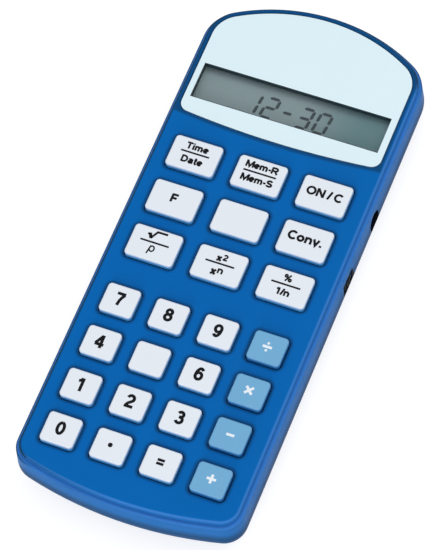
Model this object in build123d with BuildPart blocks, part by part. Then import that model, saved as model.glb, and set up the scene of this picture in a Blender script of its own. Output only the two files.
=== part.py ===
from build123d import *
import os
from math import atan2, cos, degrees, radians, sin, sqrt

# A slim desk calculator that speaks its keys, in millimetres. X runs across the case, Y towards
# the display and Z up out of the key face. The origin is on the table, under the case's middle.

os.makedirs("parts", exist_ok=True)

# Case: overall size
case_length = 170.9
case_width = 70.2
face_height = 20.0
foot_height = 0.8

# Case: plan outline at the widest level
top_arc_radius = 57.5
top_corner_radius = 12.4
bottom_arc_radius = 122.0
bottom_corner_radius = 7.3

# Case: side profile, as depths below the face and insets from the widest outline
belly_depth = 11.2
belly_round = 6.0
base_inset = 4.5
base_round = 3.0
rim_inset = 0.6
rim_round = 0.4
cover_inset = 1.6
cover_round = 1.0
seam_inset = 2.1
seam_gap = 0.5

# Case: walls
plate_thickness = 1.7
side_wall = 1.8
rear_wall = 2.0
lip_clearance = 0.15
lip_thickness = 1.0
lip_depth = 2.0

# Display panel, window and their recess
panel_inset = 3.5
panel_low_from_top = 47.6
panel_bow_radius = 262.0
panel_corner_radius = 3.0
panel_gap = 0.3
panel_recess = 0.6
panel_thickness = 0.5
window_side = 5.5
window_depth = 11.9
window_corner = 0.4
window_from_top = 34.85

# Keys
number_web_across = 5.0
number_web_along = 5.1
function_web_across = 5.4
function_web_along = 5.2
function_key_extra = 1.2
key_side_margin = 7.2
key_end_margin = 11.3
block_web = 10.0
display_web = 7.6
key_corner = 1.2
key_rise = 1.8
key_edge_round = 0.5
key_gap = 0.4
key_travel = 0.8
key_wall = 1.1
flange_width = 0.9
flange_thickness = 0.6
flange_clearance = 0.05
plunger_radius = 1.5

# Circuit board and rubber mat
board_depth = 3.9
board_thickness = 1.2
board_side_margin = 5.5
board_corner = 3.0
board_end_margin = 8.8
board_upper_margin = 0.8
board_hole_clearance = 0.3
mat_thickness = 0.4
mat_margin = 0.6
mat_side_margin = 1.6
mat_hole_clearance = 0.2

# Battery bay, for two cells side by side
cell_radius = 5.25
cell_length = 44.5
cell_gap = 0.4
bay_clearance = 0.2
bay_spare_length = 5.5
bay_from_end = 8.1
bay_wall = 1.2
bay_ceiling = 0.9

# Battery door
door_rail = 1.2
door_lip_height = 1.0
door_margin = 1.6
door_clearance = 0.15

# Speaker
speaker_radius = 15.0
speaker_from_top = 33.3
speaker_height = 6.4

# Side controls
jack_width = 6.4
jack_gap = 0.3
wheel_offset = 0.45
control_depth = 8.3
wheel_radius = 8.0
wheel_thickness = 3.0
wheel_inset = 0.2
wheel_clearance = 0.35
jack_bore_radius = 1.8
jack_bore_length = 14.0

# Screws that close the case
case_screw_head_radius = 2.0
case_screw_head = 1.5
case_screw_radius = 1.1
case_screw_length = 7.0
case_screw_seat = 10.0
post_web = 2.0
post_wall = 1.3
well_clearance = 0.2

# Small screws that hold the board, the display holder and the speaker
board_screw_head_radius = 1.4
board_screw_head = 0.9
board_screw_radius = 0.7
board_boss_radius = 1.6

# One overrun for every cut, and the play between pieces that only stand beside each other
overrun = 1.0
play = 0.1

# Heights that several pieces share
seam_top = face_height - plate_thickness
seam_bottom = seam_top - seam_gap
plate_under = seam_top
belly_height = face_height - belly_depth
floor_height = foot_height + rear_wall
board_top = face_height - board_depth
board_under = board_top - board_thickness
key_top = face_height + key_rise
flange_top = plate_under - flange_clearance
flange_bottom = flange_top - flange_thickness
control_height = face_height - control_depth
recess_floor = face_height - panel_recess

# Places that several pieces share
end_y = case_length / 2
window_y = end_y - window_from_top
panel_low_y = end_y - panel_low_from_top
speaker_y = end_y - speaker_from_top
wheel_x = case_width / 2 - wheel_inset - wheel_radius
window_width = case_width - window_side * 2
board_width = case_width - board_side_margin * 2
lip_outer_inset = rim_inset + side_wall + lip_clearance
lip_inner_inset = lip_outer_inset + lip_thickness

# The key grid: number keys in four columns, function keys in three, outer edges in line
number_names = [
    ["key_0", "key_point", "key_equals", "key_add"],
    ["key_1", "key_2", "key_3", "key_subtract"],
    ["key_4", "key_5", "key_6", "key_multiply"],
    ["key_7", "key_8", "key_9", "key_divide"],
]
function_names = [
    ["key_root", "key_power", "key_percent"],
    ["key_function", "key_blank", "key_convert"],
    ["key_time", "key_memory", "key_on_clear"],
]
number_count = len(number_names)
function_count = len(function_names)
number_gaps = number_count - 1
function_gaps = function_count - 1

# The caps share what the webs and margins leave of the case's width and length
block_width = case_width - key_side_margin * 2
rows_length = (
    case_length - key_end_margin - block_web - display_web - panel_low_from_top
    - number_web_along * number_gaps - function_web_along * function_gaps
)
number_key_width = (block_width - number_web_across * number_gaps) / number_count
function_key_width = (block_width - function_web_across * function_gaps) / function_count
number_key_depth = (rows_length - function_key_extra * function_count) / (number_count + function_count)
function_key_depth = number_key_depth + function_key_extra
number_pitch = number_key_width + number_web_across
number_row_pitch = number_key_depth + number_web_along
function_pitch = function_key_width + function_web_across
function_row_pitch = function_key_depth + function_web_along
number_low_y = -end_y + key_end_margin + number_key_depth / 2
number_high_y = number_low_y + number_row_pitch * number_gaps
function_low_y = number_high_y + (number_key_depth + function_key_depth) / 2 + block_web
function_high_y = function_low_y + function_row_pitch * function_gaps

number_keys = [
    (name, number_pitch * (column - number_gaps / 2), number_low_y + number_row_pitch * row)
    for row, names in enumerate(number_names)
    for column, name in enumerate(names)
]
function_keys = [
    (name, function_pitch * (column - function_gaps / 2), function_low_y + function_row_pitch * row)
    for row, names in enumerate(function_names)
    for column, name in enumerate(names)
]
number_places = [(x, y) for name, x, y in number_keys]
function_places = [(x, y) for name, x, y in function_keys]
key_places = number_places + function_places

# Free strips between the rows, where bosses pass the keys
middle_strip_y = number_high_y + (number_key_depth + block_web) / 2
upper_strip_y = function_high_y + (function_key_depth + display_web) / 2
lower_strip_y = number_low_y + number_row_pitch / 2

# Battery bay and its door
cell_x = cell_radius + cell_gap / 2
cell_height = floor_height + bay_clearance + cell_radius
bay_half_width = cell_radius * 2 + cell_gap / 2 + bay_clearance
bay_length = cell_length + bay_spare_length
bay_low_y = -end_y + bay_from_end
bay_high_y = bay_low_y + bay_length
bay_top = cell_height + cell_radius + bay_clearance
door_half_width = bay_half_width + door_margin
rail_half_width = door_half_width + door_rail
door_lip_top = foot_height + door_lip_height
door_high_y = bay_high_y + door_margin

# Screw places: the case screws, the board screws and the display holder's screws
case_screw_from_side = 9.1
end_screw_from_side = 16.1
end_screw_from_top = 15.3
case_screw_side = case_width / 2 - case_screw_from_side
end_screw_side = case_width / 2 - end_screw_from_side
case_screw_places = [
    (side * x, y)
    for side in (-1, 1)
    for x, y in (
        (case_screw_side, middle_strip_y),
        (case_screw_side, upper_strip_y),
        (end_screw_side, end_y - end_screw_from_top),
    )
]
post_top = case_screw_seat + post_web
boss_radius = case_screw_radius + post_wall + well_clearance
post_radius = case_screw_head_radius + well_clearance + post_wall
boss_spacing = 2.3
bay_screw_gap = 1.7
board_screw_side = case_screw_side - boss_radius - board_boss_radius - boss_spacing
bay_screw_side = bay_half_width + bay_wall + board_screw_head_radius + bay_screw_gap
board_screw_places = [
    (side * x, y)
    for side in (-1, 1)
    for x, y in (
        (bay_screw_side, lower_strip_y),
        (bay_screw_side, middle_strip_y),
        (board_screw_side, upper_strip_y),
    )
]

# The earphone socket lies against the upper screw post, the wheel between it and the middle one
jack_y = upper_strip_y - post_radius - jack_gap - jack_width / 2
wheel_y = (middle_strip_y + jack_y) / 2 + wheel_offset

# Cross slot of every screw head, as shares of the head's radius and thickness
cross_length_share = 1.2
cross_width_share = 0.3
cross_depth_share = 0.5

# Hooks on the lip that hold the low end of the two covers together
hook_width = 6.0
hook_height = 1.0
hook_reach = 1.0
hook_side = 16.0
hook_zone = 20.0
hook_bottom = seam_bottom - lip_depth
hook_inset = lip_outer_inset - hook_reach


def case_edge(inset):
    """The casing's plan outline, drawn in by an inset from its widest level."""
    half_width = case_width / 2 - inset
    top_x = case_width / 2 - top_corner_radius
    top_y = end_y - top_arc_radius
    top_rise = sqrt((top_arc_radius - top_corner_radius) ** 2 - top_x**2)
    top_angle = degrees(atan2(top_rise, top_x))
    low_x = case_width / 2 - bottom_corner_radius
    low_y = bottom_arc_radius - end_y
    low_drop = sqrt((bottom_arc_radius - bottom_corner_radius) ** 2 - low_x**2)
    low_angle = degrees(atan2(low_drop, low_x))
    with BuildLine() as edge:
        CenterArc((0, top_y), top_arc_radius - inset, top_angle, 90 - top_angle)
        CenterArc((top_x, top_y + top_rise), top_corner_radius - inset, 0, top_angle)
        Line((half_width, top_y + top_rise), (half_width, low_y - low_drop))
        CenterArc((low_x, low_y - low_drop), bottom_corner_radius - inset, -low_angle, low_angle)
        CenterArc((0, low_y), bottom_arc_radius - inset, -90, 90 - low_angle)
        mirror(about=Plane.YZ)
    return edge.line


def case_face(inset, height):
    """The casing's outline as a face at a height."""
    with BuildSketch(Plane.XY.offset(height)) as face:
        make_face(case_edge(inset).edges())
    return face.sketch


def panel_face(height, grow):
    """The display panel's outline, grown by a gap: the case's round end over a bowed lower edge."""
    low_y = panel_low_y - grow
    bow_radius = panel_bow_radius + grow
    half_width = case_width / 2 - panel_inset + grow
    corner_rise = bow_radius - sqrt(bow_radius**2 - half_width**2)
    with BuildSketch(Plane.XY.offset(height)) as face:
        make_face(case_edge(panel_inset - grow).edges())
        with BuildLine():
            left = (-half_width - overrun, low_y + corner_rise)
            right = (half_width + overrun, low_y + corner_rise)
            ThreePointArc(left, (0, low_y), right)
            Polyline(right, (right[0], end_y + overrun), (left[0], end_y + overrun), left)
        make_face(mode=Mode.INTERSECT)
        fillet(face.vertices().group_by(Axis.Y)[0], panel_corner_radius + grow)
    return face.sketch


def box(low, high, mode=Mode.ADD):
    """A block between two corners, joined to the part being built."""
    size = [b - a for a, b in zip(low, high)]
    middle = tuple((a + b) / 2 for a, b in zip(low, high))
    with Locations(middle):
        Box(*size, mode=mode)


def save(part, name):
    """Labels a finished piece and writes its file."""
    part.label = name
    export_step(part, f"parts/{name}.step")


def make_screws(name, places, seat, way, head_radius, head_thickness, radius, length):
    """Cross-head screws: heads against the seat height, shanks leaving it up (1) or down (-1)."""
    head_end = seat - way * head_thickness
    with BuildPart() as screws:
        with BuildSketch(Plane.XY.offset(seat)):
            with Locations(*places):
                Circle(head_radius)
        extrude(amount=-way * head_thickness)
        with BuildSketch(Plane.XY.offset(seat)):
            with Locations(*places):
                Circle(radius)
        extrude(amount=way * length)
        with BuildSketch(Plane.XY.offset(head_end)):
            with Locations(*places):
                Rectangle(head_radius * cross_length_share, head_radius * cross_width_share)
                Rectangle(head_radius * cross_width_share, head_radius * cross_length_share)
        extrude(amount=way * head_thickness * cross_depth_share, mode=Mode.SUBTRACT)
    save(screws.part, name)


def end_stretches(height, outer_inset, inner_inset, width):
    """Two short stretches of the case's low end wall, between two insets of its outline."""
    with BuildSketch(Plane.XY.offset(height)) as stretches:
        with Locations((-hook_side, -end_y), (hook_side, -end_y)):
            Rectangle(width, hook_zone)
        add(case_face(outer_inset, height), mode=Mode.INTERSECT)
        add(case_face(inner_inset, height), mode=Mode.SUBTRACT)
    return stretches.sketch


# Top cover: the face plate with its key openings, window, lip and bosses

boss_pilot_depth = case_screw_seat + case_screw_length + bay_clearance
board_pilot_rise = 0.8
bezel_wall = 0.6
ear_width = 6.0
ear_margin = 8.35
holder_ear_reach = 3.4
holder_half_width = case_width / 2 - lip_inner_inset - play * 2
holder_screw_side = holder_half_width - ear_margin - ear_width / 2
lcd_overlap_across = 0.6
lcd_overlap_along = 1.35
lcd_width = window_width + lcd_overlap_across * 2
lcd_depth = window_depth + lcd_overlap_along * 2
lcd_ledge = 2.1
holder_wall = 0.7
holder_low_y = window_y - lcd_depth / 2 - lcd_ledge - play - holder_wall
holder_high_y = window_y + lcd_depth / 2 + play + holder_wall
bezel_flange = 0.8
lcd_thickness = 1.6
lcd_top = plate_under - bezel_flange - flange_clearance
lcd_bottom = lcd_top - lcd_thickness
holder_base = 1.0
holder_top = lcd_bottom - flange_clearance
holder_bottom = holder_top - holder_base
holder_screw_places = [
    (side * holder_screw_side, y)
    for side in (-1, 1)
    for y in (holder_low_y - holder_ear_reach / 2, holder_high_y + holder_ear_reach / 2)
]

with BuildPart() as top_cover:
    extrude(case_face(cover_inset, seam_top), amount=plate_thickness)
    fillet(top_cover.faces().sort_by(Axis.Z)[-1].edges(), cover_round)
    extrude(case_face(seam_inset, seam_bottom), amount=seam_gap)
    extrude(case_face(lip_outer_inset, seam_bottom - lip_depth), amount=lip_depth)
    extrude(
        case_face(lip_inner_inset, seam_bottom - lip_depth),
        amount=lip_depth + seam_gap,
        mode=Mode.SUBTRACT,
    )
    extrude(end_stretches(hook_bottom, hook_inset, lip_inner_inset, hook_width), amount=hook_height)
    # bosses for the case screws, the board screws and the display holder's screws
    with BuildSketch(Plane.XY.offset(post_top)):
        with Locations(*case_screw_places):
            Circle(boss_radius)
    extrude(amount=plate_under - post_top)
    with BuildSketch(Plane.XY.offset(board_top)):
        with Locations(*board_screw_places):
            Circle(board_boss_radius)
    extrude(amount=plate_under - board_top)
    with BuildSketch(Plane.XY.offset(holder_top)):
        with Locations(*holder_screw_places):
            Circle(board_boss_radius)
    extrude(amount=plate_under - holder_top)
    # pilot holes
    with BuildSketch(Plane.XY.offset(post_top)):
        with Locations(*case_screw_places):
            Circle(case_screw_radius)
    extrude(amount=boss_pilot_depth - post_top, mode=Mode.SUBTRACT)
    with BuildSketch(Plane.XY.offset(board_top)):
        with Locations(*board_screw_places):
            Circle(board_screw_radius)
    extrude(amount=plate_under + board_pilot_rise - board_top, mode=Mode.SUBTRACT)
    with BuildSketch(Plane.XY.offset(holder_top)):
        with Locations(*holder_screw_places):
            Circle(board_screw_radius)
    extrude(amount=plate_under - holder_top, mode=Mode.SUBTRACT)
    # key openings
    with BuildSketch(Plane.XY.offset(plate_under)):
        with Locations(*number_places):
            RectangleRounded(
                number_key_width + key_gap * 2, number_key_depth + key_gap * 2, key_corner + key_gap
            )
        with Locations(*function_places):
            RectangleRounded(
                function_key_width + key_gap * 2, function_key_depth + key_gap * 2, key_corner + key_gap
            )
    extrude(amount=plate_thickness, mode=Mode.SUBTRACT)
    # recess for the display panel, and the opening that the bezel lines
    extrude(panel_face(recess_floor, panel_gap), amount=panel_recess, mode=Mode.SUBTRACT)
    with BuildSketch(Plane.XY.offset(plate_under)):
        with Locations((0, window_y)):
            RectangleRounded(
                window_width + bezel_wall * 2 + play * 2,
                window_depth + bezel_wall * 2 + play * 2,
                window_corner + bezel_wall + play,
            )
    extrude(amount=plate_thickness, mode=Mode.SUBTRACT)
save(top_cover.part, "top_cover")

# Rear cover: the deep shell with the battery bay, screw posts, speaker seat and side openings

taper_height = belly_height - foot_height
floor_inset = base_inset * (1 - rear_wall / taper_height) + rear_wall
rail_height = 1.2
rail_wall = 1.6
end_block = 4.0
collar_wall = 1.0
collar_height = 1.4
speaker_ear_radius = 18.3
speaker_post_radius = 2.2
speaker_screw_radius = 0.8
speaker_ear_turns = (90, 210, 330)
grille_hole_radius = 0.9
grille_web = 1.4
grille_rings = 4
grille_ring_step = 6
wire_side = 2.5
wire_radius = 0.5
wire_gap_width = (wire_side + wire_radius + well_clearance) * 2
wire_gap_depth = (collar_wall + play * 2) * 2
jack_hole_radius = 3.25
scoop_radius = 7.0
scoop_depth = 1.3
scoop_margin = 1.2
foot_radius = 4.0
foot_pocket = 0.5
foot_side = (door_half_width + case_width / 2 - base_inset - base_round) / 2
foot_from_low_end = 19.3
foot_from_top_end = 23.3
foot_places = [
    (side * foot_side, y)
    for side in (-1, 1)
    for y in (-end_y + foot_from_low_end, end_y - foot_from_top_end)
]
contact_slot = 1.0
contact_slot_width = 3.0
speaker_screw_places = [
    (
        speaker_ear_radius * cos(radians(turn)),
        speaker_y + speaker_ear_radius * sin(radians(turn)),
    )
    for turn in speaker_ear_turns
]


def rear_body():
    """The rear cover's outer form: tapered underside, rounded belly and drafted side walls."""
    with BuildPart() as body:
        loft(
            [
                case_face(base_inset, foot_height),
                case_face(0, belly_height),
                case_face(rim_inset, seam_bottom),
            ],
            ruled=True,
        )
        near_belly = (belly_height - play, belly_height + play)
        fillet(body.edges().filter_by_position(Axis.Z, *near_belly), belly_round)
        fillet(body.faces().sort_by(Axis.Z)[0].edges(), base_round)
        fillet(body.faces().sort_by(Axis.Z)[-1].edges(), rim_round)
    return body.part


def door_profile(clearance):
    """The door's section across the case: a plate with a wider lip above, that runs in the rails."""
    low = foot_height - overrun
    lip = door_lip_top + clearance
    top = floor_height - clearance
    narrow = door_half_width - clearance
    wide = rail_half_width - clearance
    with BuildSketch(Plane.XZ.offset(-door_high_y + clearance)) as profile:
        with BuildLine():
            Polyline(
                (-narrow, low), (narrow, low), (narrow, lip), (wide, lip), (wide, top),
                (-wide, top), (-wide, lip), (-narrow, lip), close=True,
            )
        make_face()
    return profile.sketch


with BuildPart() as rear_cover:
    add(rear_body())
    loft(
        [
            case_face(floor_inset, floor_height),
            case_face(side_wall, belly_height),
            case_face(rim_inset + side_wall, seam_bottom),
        ],
        ruled=True,
        mode=Mode.SUBTRACT,
    )
    # pockets that the hooks of the top cover's lip catch in
    pocket_inset = hook_inset - lip_clearance
    extrude(
        end_stretches(
            hook_bottom - lip_clearance, pocket_inset, lip_inner_inset, hook_width + lip_clearance * 2
        ),
        amount=hook_height + lip_clearance * 2,
        mode=Mode.SUBTRACT,
    )
    # battery bay: side walls, rails over the door's lips, end walls and ceiling
    wall_x = bay_half_width + bay_wall
    rail_x = rail_half_width + rail_wall
    block_low_y = bay_low_y - end_block
    bay_roof = bay_top + bay_ceiling
    rail_top = floor_height + rail_height
    box((-wall_x, block_low_y, floor_height), (wall_x, bay_high_y + bay_wall, bay_roof))
    box((-rail_x, block_low_y, floor_height), (rail_x, door_high_y + rail_wall, rail_top))
    add(rear_body(), mode=Mode.INTERSECT)
    bay_low = (-bay_half_width, bay_low_y, foot_height - overrun)
    box(bay_low, (bay_half_width, bay_high_y, bay_top), Mode.SUBTRACT)
    extrude(door_profile(0), amount=case_length, mode=Mode.SUBTRACT)
    # slots in the bay's ceiling for the contact tails
    for x in (-cell_x, cell_x):
        box(
            (x - contact_slot_width / 2, bay_high_y - contact_slot, bay_top - overrun),
            (x + contact_slot_width / 2, bay_high_y, bay_top + bay_ceiling),
            Mode.SUBTRACT,
        )
    # screw posts with their wells
    with BuildSketch(Plane.XY.offset(floor_height)):
        with Locations(*case_screw_places):
            Circle(post_radius)
    extrude(amount=post_top - floor_height)
    with BuildSketch(Plane.XY.offset(foot_height)):
        with Locations(*case_screw_places):
            Circle(case_screw_head_radius + well_clearance)
    extrude(amount=case_screw_seat - foot_height, mode=Mode.SUBTRACT)
    with BuildSketch(Plane.XY.offset(case_screw_seat)):
        with Locations(*case_screw_places):
            Circle(case_screw_radius + well_clearance)
    extrude(amount=post_web, mode=Mode.SUBTRACT)
    # speaker seat: collar, three posts and the grille
    with BuildSketch(Plane.XY.offset(floor_height)):
        with Locations((0, speaker_y)):
            Circle(speaker_radius + play * 2 + collar_wall)
        with Locations(*speaker_screw_places):
            Circle(speaker_post_radius)
        with Locations((0, speaker_y)):
            Circle(speaker_radius + play * 2, mode=Mode.SUBTRACT)
        with Locations(*speaker_screw_places):
            Circle(speaker_screw_radius, mode=Mode.SUBTRACT)
    extrude(amount=collar_height)
    with BuildSketch(Plane.XY.offset(floor_height)):
        with Locations((0, speaker_y - speaker_radius)):
            Rectangle(wire_gap_width, wire_gap_depth)
    extrude(amount=collar_height, mode=Mode.SUBTRACT)
    with BuildSketch(Plane.XY.offset(foot_height)):
        with Locations((0, speaker_y)):
            Circle(grille_hole_radius)
            for ring in range(1, grille_rings):
                with PolarLocations((grille_hole_radius * 2 + grille_web) * ring, grille_ring_step * ring):
                    Circle(grille_hole_radius)
    extrude(amount=rear_wall, mode=Mode.SUBTRACT)
    # side openings: the earphone hole, and the wheel's slot in its finger scoop
    with BuildSketch(Plane.YZ.offset(case_width / 2 + overrun)):
        with Locations((jack_y, control_height)):
            Circle(jack_hole_radius)
    extrude(amount=-side_wall * 2 - overrun, mode=Mode.SUBTRACT)
    scoop_half_height = wheel_thickness / 2 + scoop_margin
    with BuildSketch(Plane.XY.offset(control_height - scoop_half_height)):
        with Locations((case_width / 2 + scoop_radius - scoop_depth, wheel_y)):
            Circle(scoop_radius)
    extrude(amount=scoop_half_height * 2, mode=Mode.SUBTRACT)
    with BuildSketch(Plane.XY.offset(control_height - wheel_thickness / 2 - wheel_clearance)):
        with Locations((wheel_x, wheel_y)):
            Circle(wheel_radius + wheel_clearance)
    extrude(amount=wheel_thickness + wheel_clearance * 2, mode=Mode.SUBTRACT)
    # shallow pockets for the feet
    with BuildSketch(Plane.XY.offset(foot_height)):
        with Locations(*foot_places):
            Circle(foot_radius)
    extrude(amount=foot_pocket, mode=Mode.SUBTRACT)
save(rear_cover.part, "rear_cover")

# Battery door: cut from the rear cover's own form, it slides off over the low end

grip_count = 5
grip_width = 0.9
grip_gap = 1.5
grip_depth = 0.3
grip_length = 12.0
grip_from_top = 8.0

with BuildPart() as battery_door:
    add(rear_body())
    extrude(door_profile(door_clearance), amount=case_length, mode=Mode.INTERSECT)
    grip_pitch = grip_width + grip_gap
    grip_middle_y = door_high_y - grip_from_top - grip_pitch * (grip_count - 1) / 2
    with BuildSketch(Plane.XY.offset(foot_height)):
        with Locations((0, grip_middle_y)):
            with GridLocations(grip_length, grip_pitch, 1, grip_count):
                Rectangle(grip_length, grip_width)
    extrude(amount=grip_depth, mode=Mode.SUBTRACT)
save(battery_door.part, "battery_door")

# Rubber feet, glued in their pockets

with BuildPart() as feet:
    with BuildSketch():
        with Locations(*foot_places):
            Circle(foot_radius - play)
    extrude(amount=foot_height + foot_pocket)
    fillet(feet.edges().group_by(Axis.Z)[0], foot_pocket)
save(feet.part, "feet")

# Display: face panel, bezel, window, liquid crystal panel, its ribbon and its holder

lens_overlap_across = 0.5
lens_overlap_along = 0.85
lens_width = window_width + lens_overlap_across * 2
lens_depth = window_depth + lens_overlap_along * 2
lens_thickness = 0.6
lcd_glass = lcd_thickness / 2
ribbon_clearance = 0.9
ribbon_width = (board_screw_side - board_boss_radius - ribbon_clearance) * 2
ribbon_thickness = 0.15
ribbon_bond = 1.5

with BuildPart() as display_panel:
    extrude(panel_face(recess_floor, 0), amount=panel_thickness)
    with BuildSketch(Plane.XY.offset(recess_floor)):
        with Locations((0, window_y)):
            RectangleRounded(window_width, window_depth, window_corner)
    extrude(amount=panel_thickness, mode=Mode.SUBTRACT)
save(display_panel.part, "display_panel")

with BuildPart() as display_bezel:
    # lining of the opening, then the flange under the face plate
    with BuildSketch(Plane.XY.offset(plate_under)):
        with Locations((0, window_y)):
            RectangleRounded(
                window_width + bezel_wall * 2, window_depth + bezel_wall * 2, window_corner + bezel_wall
            )
    extrude(amount=recess_floor - plate_under)
    with BuildSketch(Plane.XY.offset(plate_under - bezel_flange)):
        with Locations((0, window_y)):
            Rectangle(holder_half_width * 2, lens_depth + bezel_wall * 2 + play * 2)
    extrude(amount=bezel_flange)
    with BuildSketch(Plane.XY.offset(plate_under - bezel_flange)):
        with Locations((0, window_y)):
            RectangleRounded(window_width, window_depth, window_corner)
    extrude(amount=recess_floor - plate_under + bezel_flange, mode=Mode.SUBTRACT)
    with BuildSketch(Plane.XY.offset(plate_under - bezel_flange)):
        with Locations((0, window_y)):
            Rectangle(lens_width + play * 2, lens_depth + play * 2)
    extrude(amount=lens_thickness, mode=Mode.SUBTRACT)
save(display_bezel.part, "display_bezel")

with BuildPart() as display_window:
    with BuildSketch(Plane.XY.offset(plate_under - bezel_flange)):
        with Locations((0, window_y)):
            Rectangle(lens_width, lens_depth)
    extrude(amount=lens_thickness)
save(display_window.part, "display_window")

lcd_low_y = window_y - lcd_depth / 2
lcd_high_y = window_y + lcd_depth / 2
ledge_height = lcd_bottom + lcd_glass
with BuildPart() as lcd_panel:
    # front glass, and a longer rear glass whose ledge carries the contacts
    box((-lcd_width / 2, lcd_low_y, ledge_height), (lcd_width / 2, lcd_high_y, lcd_top))
    box((-lcd_width / 2, lcd_low_y - lcd_ledge, lcd_bottom), (lcd_width / 2, lcd_high_y, ledge_height))
save(lcd_panel.part, "lcd_panel")

board_low_y = -end_y + board_end_margin
board_high_y = upper_strip_y + board_boss_radius + board_upper_margin
with BuildPart() as lcd_ribbon:
    # a flat film from the glass ledge down to the board's upper edge
    bond_y = lcd_low_y - play
    land_y = board_high_y - play
    with BuildSketch(Plane.YZ.offset(-ribbon_width / 2)):
        with BuildLine():
            Polyline(
                (bond_y, ledge_height),
                (bond_y - lcd_ledge, ledge_height),
                (land_y, board_top),
                (land_y - ribbon_bond, board_top),
                (land_y - ribbon_bond, board_top + ribbon_thickness),
                (land_y, board_top + ribbon_thickness),
                (bond_y - lcd_ledge, ledge_height + ribbon_thickness),
                (bond_y, ledge_height + ribbon_thickness),
                close=True,
            )
        make_face()
    extrude(amount=ribbon_width)
save(lcd_ribbon.part, "lcd_ribbon")

with BuildPart() as lcd_holder:
    box(
        (-holder_half_width, holder_low_y, holder_bottom),
        (holder_half_width, holder_high_y, lcd_top),
    )
    box(
        (-lcd_width / 2 - play, lcd_low_y - lcd_ledge - play, holder_top),
        (lcd_width / 2 + play, lcd_high_y + play, lcd_top),
        Mode.SUBTRACT,
    )
    # gap in the low wall for the ribbon
    box(
        (-ribbon_width / 2 - play, holder_low_y, lcd_bottom),
        (ribbon_width / 2 + play, lcd_low_y - lcd_ledge, lcd_top),
        Mode.SUBTRACT,
    )
    # screw ears
    with BuildSketch(Plane.XY.offset(holder_bottom)):
        with Locations(*holder_screw_places):
            Rectangle(ear_width, holder_ear_reach)
    extrude(amount=holder_base)
    with BuildSketch(Plane.XY.offset(holder_bottom)):
        with Locations(*holder_screw_places):
            Circle(board_screw_radius + play)
    extrude(amount=holder_base, mode=Mode.SUBTRACT)
save(lcd_holder.part, "lcd_holder")

# Circuit board, with holes for the case bosses and the small screws

with BuildPart() as circuit_board:
    with BuildSketch(Plane.XY.offset(board_under)):
        with Locations((0, (board_low_y + board_high_y) / 2)):
            RectangleRounded(board_width, board_high_y - board_low_y, board_corner)
        with Locations(*case_screw_places):
            Circle(boss_radius + board_hole_clearance, mode=Mode.SUBTRACT)
        with Locations(*board_screw_places):
            Circle(board_screw_radius + play, mode=Mode.SUBTRACT)
    extrude(amount=board_thickness)
save(circuit_board.part, "circuit_board")

# Rubber mat over the board. Its domes are at the height they have under a pressed key.

dome_top = flange_bottom - key_travel - flange_clearance
dome_radius = 3.6
with BuildPart() as key_mat:
    mat_low_y = board_low_y + mat_margin
    mat_high_y = function_high_y + function_key_depth / 2 + mat_margin
    with BuildSketch(Plane.XY.offset(board_top)):
        with Locations((0, (mat_low_y + mat_high_y) / 2)):
            RectangleRounded(board_width - mat_side_margin * 2, mat_high_y - mat_low_y, board_corner)
        with Locations(*case_screw_places):
            Circle(boss_radius + board_hole_clearance, mode=Mode.SUBTRACT)
        with Locations(*board_screw_places):
            Circle(board_boss_radius + mat_hole_clearance, mode=Mode.SUBTRACT)
    extrude(amount=mat_thickness)
    with BuildSketch(Plane.XY.offset(board_top + mat_thickness)):
        with Locations(*key_places):
            Circle(dome_radius)
    extrude(amount=dome_top - board_top - mat_thickness)
save(key_mat.part, "key_mat")

# Keys: hollow caps with a retaining flange under the face plate and a plunger over each dome


def make_key(name, x, y, width, depth):
    """One key cap, made where it rests."""
    with BuildPart() as key:
        with BuildSketch(Plane.XY.offset(flange_bottom)):
            with Locations((x, y)):
                RectangleRounded(width, depth, key_corner)
        extrude(amount=key_top - flange_bottom)
        fillet(key.faces().sort_by(Axis.Z)[-1].edges(), key_edge_round)
        with BuildSketch(Plane.XY.offset(flange_bottom)):
            with Locations((x, y)):
                RectangleRounded(width + flange_width * 2, depth + flange_width * 2, key_corner)
        extrude(amount=flange_thickness)
        with BuildSketch(Plane.XY.offset(flange_bottom)):
            with Locations((x, y)):
                Rectangle(width - key_wall * 2, depth - key_wall * 2)
                Circle(plunger_radius, mode=Mode.SUBTRACT)
        extrude(amount=key_top - key_wall - flange_bottom, mode=Mode.SUBTRACT)
    save(key.part, name)


for key_name, key_x, key_y in number_keys:
    make_key(key_name, key_x, key_y, number_key_width, number_key_depth)
for key_name, key_x, key_y in function_keys:
    make_key(key_name, key_x, key_y, function_key_width, function_key_depth)

# Chips and other parts under the board

chip_side = 12.0
chip_height = 1.5
chip_x = -9.0
chip_below_jack = 9.0
chip_lead_width = 0.6
chip_lead_gap = 1.0
chip_lead_reach = 1.4
chip_lead_height = 0.5
chip_leads_a_side = 6
blob_radius = 6.5
blob_height = 1.4
blob_round_share = 0.8
blob_x = 7.0
blob_from_bay = 12.0
crystal_width = 3.0
crystal_length = 8.0
crystal_height = 3.2
crystal_gap = 1.5
capacitor_radius = 2.6
capacitor_round = 0.5
capacitor_height = 6.5
capacitor_gap = 2.8
capacitor_from_chip = 1.5
capacitor_count = 3

chip_y = jack_y - chip_below_jack
with BuildPart() as speech_chip:
    with BuildSketch(Plane.XY.offset(board_under - chip_height)):
        with Locations((chip_x, chip_y)):
            RectangleRounded(chip_side, chip_side, chip_lead_width)
    extrude(amount=chip_height)
    with BuildSketch(Plane.XY.offset(board_under - chip_lead_height)):
        lead_span = chip_side + chip_lead_reach * 2
        lead_pitch = chip_lead_width + chip_lead_gap
        with Locations((chip_x, chip_y)):
            with GridLocations(lead_pitch, 0, chip_leads_a_side, 1):
                Rectangle(chip_lead_width, lead_span)
            with GridLocations(0, lead_pitch, 1, chip_leads_a_side):
                Rectangle(lead_span, chip_lead_width)
    extrude(amount=chip_lead_height)
save(speech_chip.part, "speech_chip")

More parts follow.
